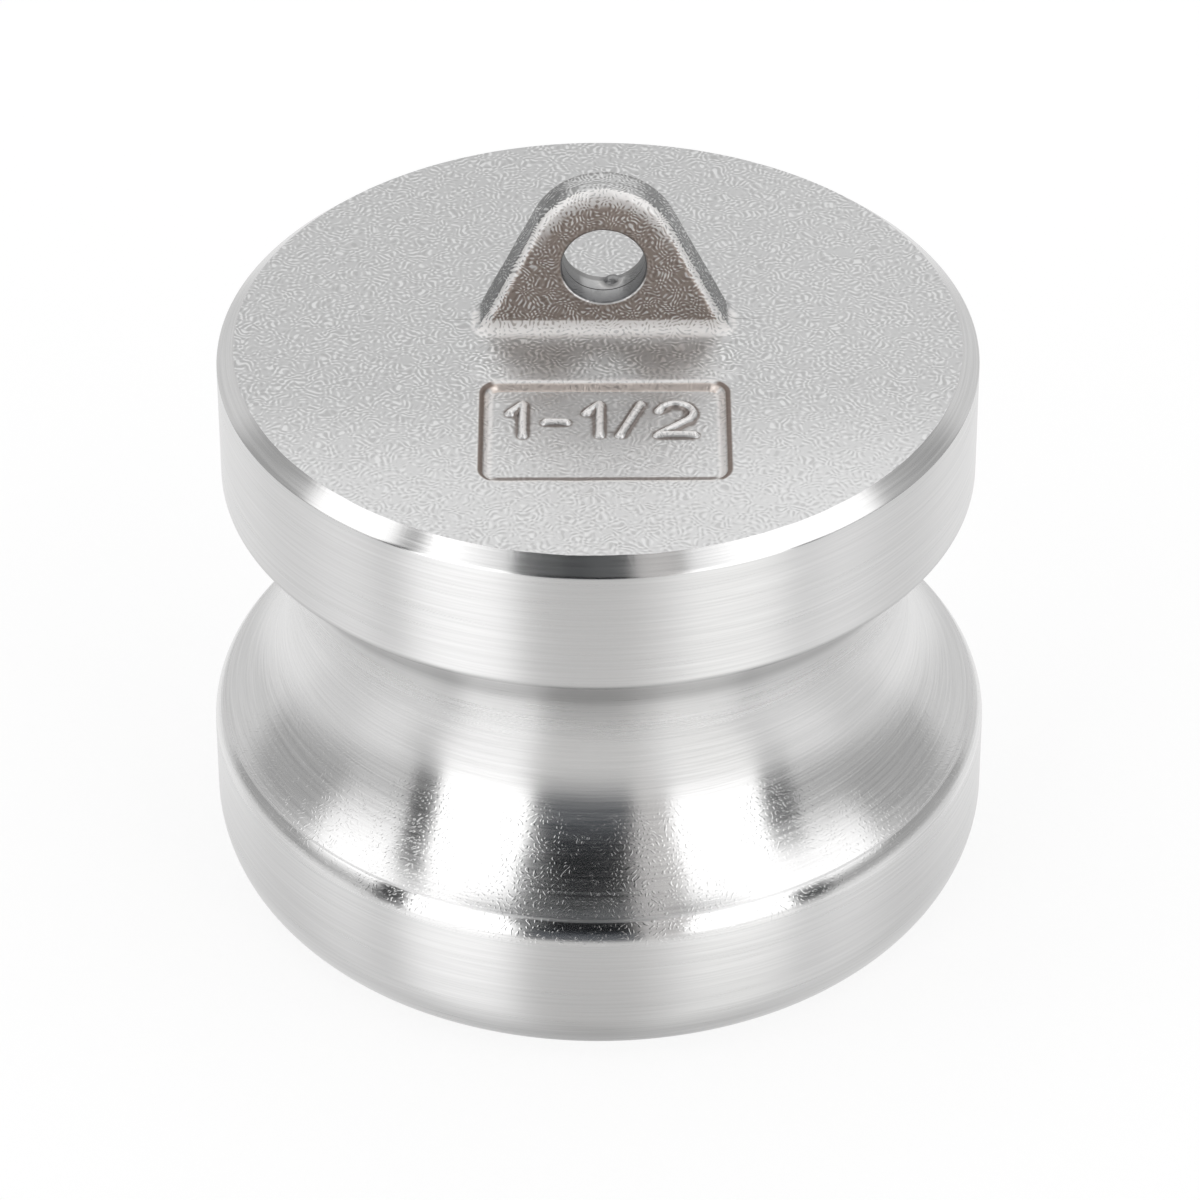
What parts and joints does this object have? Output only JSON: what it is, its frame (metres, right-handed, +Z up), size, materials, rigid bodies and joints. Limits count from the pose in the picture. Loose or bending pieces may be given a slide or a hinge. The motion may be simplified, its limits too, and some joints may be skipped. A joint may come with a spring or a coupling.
{
  "type": "cam and groove dust plug",
  "caption": "Turned steel plug with a cam groove that closes an empty coupler, with a drilled chain lug on its top and a cored hollow below.",
  "frame": {"origin": "centre of the bottom rim, on the surface that the plug stands on", "axes": "+Z up the turning axis from the tip to the lug; -Y is the front, where the label recess is; the lug's hole runs along Y"},
  "size_m": [0.0534, 0.0534, 0.051],
  "materials": {
    "cast_steel": "turned bright on the side, shot-blasted casting skin on the top face and the lug"
  },
  "bodies": {
    "root": {"dust_plug": "cast_steel"}
  },
  "joints": []
}
